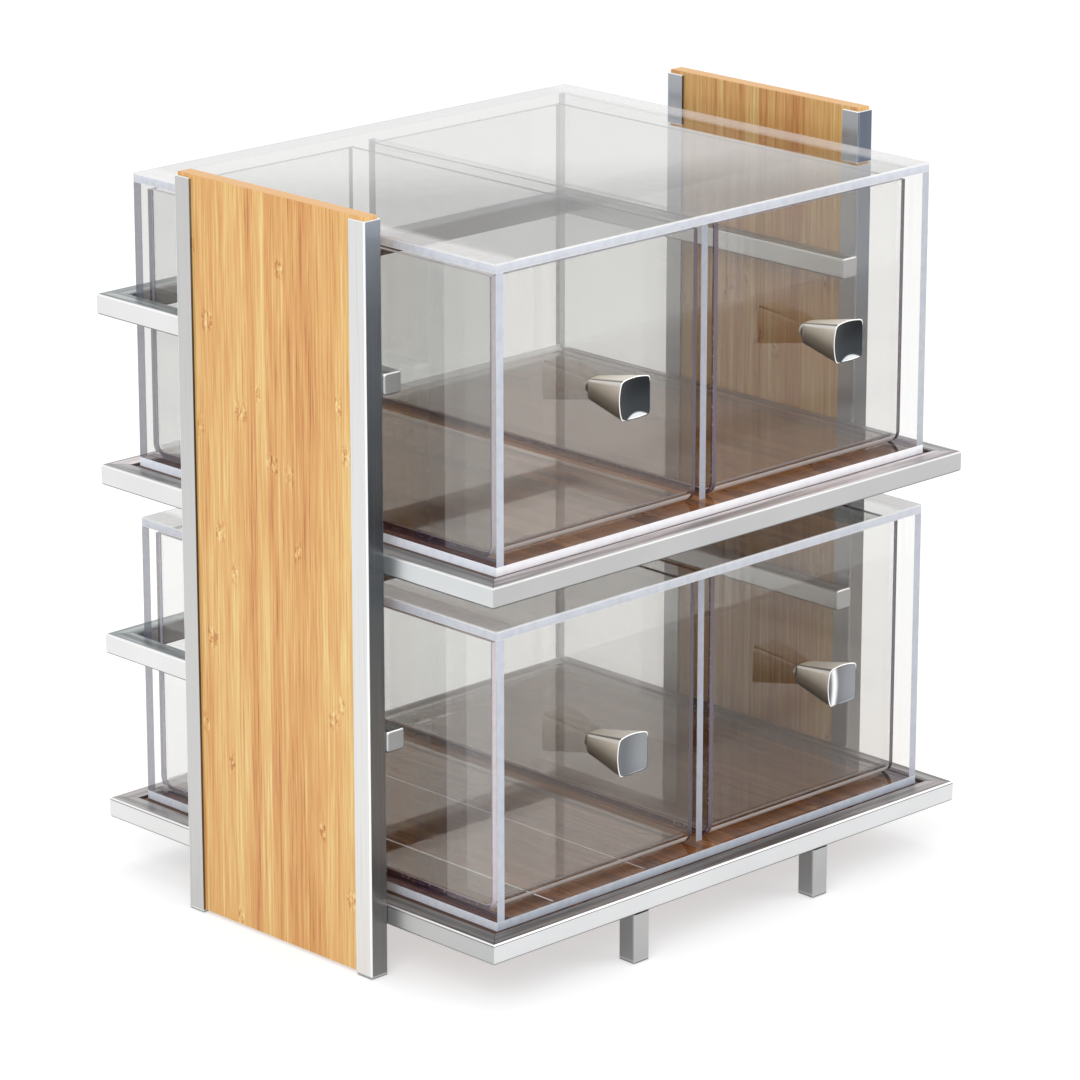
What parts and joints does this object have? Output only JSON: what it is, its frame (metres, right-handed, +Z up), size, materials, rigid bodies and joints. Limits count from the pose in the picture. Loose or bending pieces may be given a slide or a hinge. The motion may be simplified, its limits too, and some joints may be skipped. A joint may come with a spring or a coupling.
{
  "type": "countertop bread display bin",
  "caption": "Countertop food display bin: stacked clear cases with pull-out drawers on square knobs, in a steel tube stand with bamboo side panels.",
  "frame": {"origin": "on the counter, at the centre of the whole object's plan", "axes": "+X to the right seen from the front, -Y to the front with the knobs, +Z up"},
  "size_m": [0.4054, 0.3346, 0.44],
  "materials": {
    "satin_steel": "satin",
    "bamboo": "clear satin lacquer",
    "case_acrylic": "clear, polished edges",
    "drawer_acrylic": "clear, polished edges",
    "satin_nickel": "satin nickel",
    "fastener": "plain"
  },
  "bodies": {
    "frame": {"back_left_post": "satin_steel", "back_right_post": "satin_steel", "centre_legs": "satin_steel", "floor_ledges": "satin_steel", "front_left_post": "satin_steel", "front_right_post": "satin_steel", "left_side_panel": "bamboo", "leg_feet": "satin_steel", "lower_case_bottom": "case_acrylic", "lower_case_divider": "case_acrylic", "lower_case_left_wall": "case_acrylic", "lower_case_right_wall": "case_acrylic", "lower_case_top": "case_acrylic", "lower_floor_slats": "bamboo", "lower_rail_back_bar": "satin_steel", "lower_rail_left_bar": "satin_steel", "lower_rail_right_bar": "satin_steel", "lower_tray_back_bar": "satin_steel", "lower_tray_front_bar": "satin_steel", "lower_tray_left_bar": "satin_steel", "lower_tray_right_bar": "satin_steel", "post_feet": "satin_steel", "rail_end_caps": "satin_steel", "right_side_panel": "bamboo", "slat_screws": "fastener", "upper_floor_slats": "bamboo", "upper_rail_back_bar": "satin_steel", "upper_rail_left_bar": "satin_steel", "upper_rail_right_bar": "satin_steel", "upper_tray_back_bar": "satin_steel", "upper_tray_front_bar": "satin_steel", "upper_tray_left_bar": "satin_steel", "upper_tray_right_bar": "satin_steel"},
    "upper_case": {"upper_case_bottom": "case_acrylic", "upper_case_divider": "case_acrylic", "upper_case_left_wall": "case_acrylic", "upper_case_right_wall": "case_acrylic", "upper_case_top": "case_acrylic"},
    "lower_left_drawer": {"lower_left_drawer_bent_sheet": "drawer_acrylic", "lower_left_drawer_knob": "satin_nickel", "lower_left_drawer_knob_screw": "fastener", "lower_left_drawer_left_side": "drawer_acrylic", "lower_left_drawer_right_side": "drawer_acrylic"},
    "lower_right_drawer": {"lower_right_drawer_bent_sheet": "drawer_acrylic", "lower_right_drawer_knob": "satin_nickel", "lower_right_drawer_knob_screw": "fastener", "lower_right_drawer_left_side": "drawer_acrylic", "lower_right_drawer_right_side": "drawer_acrylic"},
    "upper_left_drawer": {"upper_left_drawer_bent_sheet": "drawer_acrylic", "upper_left_drawer_knob": "satin_nickel", "upper_left_drawer_knob_screw": "fastener", "upper_left_drawer_left_side": "drawer_acrylic", "upper_left_drawer_right_side": "drawer_acrylic"},
    "upper_right_drawer": {"upper_right_drawer_bent_sheet": "drawer_acrylic", "upper_right_drawer_knob": "satin_nickel", "upper_right_drawer_knob_screw": "fastener", "upper_right_drawer_left_side": "drawer_acrylic", "upper_right_drawer_right_side": "drawer_acrylic"}
  },
  "joints": [
    {"name": "upper_case_lift", "type": "slide", "parent": "frame", "child": "upper_case", "axis": [0, 0, 1], "range_m": [0, 0.195]},
    {"name": "upper_left_drawer_slide", "type": "slide", "parent": "upper_case", "child": "upper_left_drawer", "axis": [0, -1, 0], "range_m": [0, 0.25]},
    {"name": "upper_right_drawer_slide", "type": "slide", "parent": "upper_case", "child": "upper_right_drawer", "axis": [0, -1, 0], "range_m": [0, 0.25]},
    {"name": "lower_left_drawer_slide", "type": "slide", "parent": "frame", "child": "lower_left_drawer", "axis": [0, -1, 0], "range_m": [0, 0.25]},
    {"name": "lower_right_drawer_slide", "type": "slide", "parent": "frame", "child": "lower_right_drawer", "axis": [0, -1, 0], "range_m": [0, 0.25]}
  ]
}
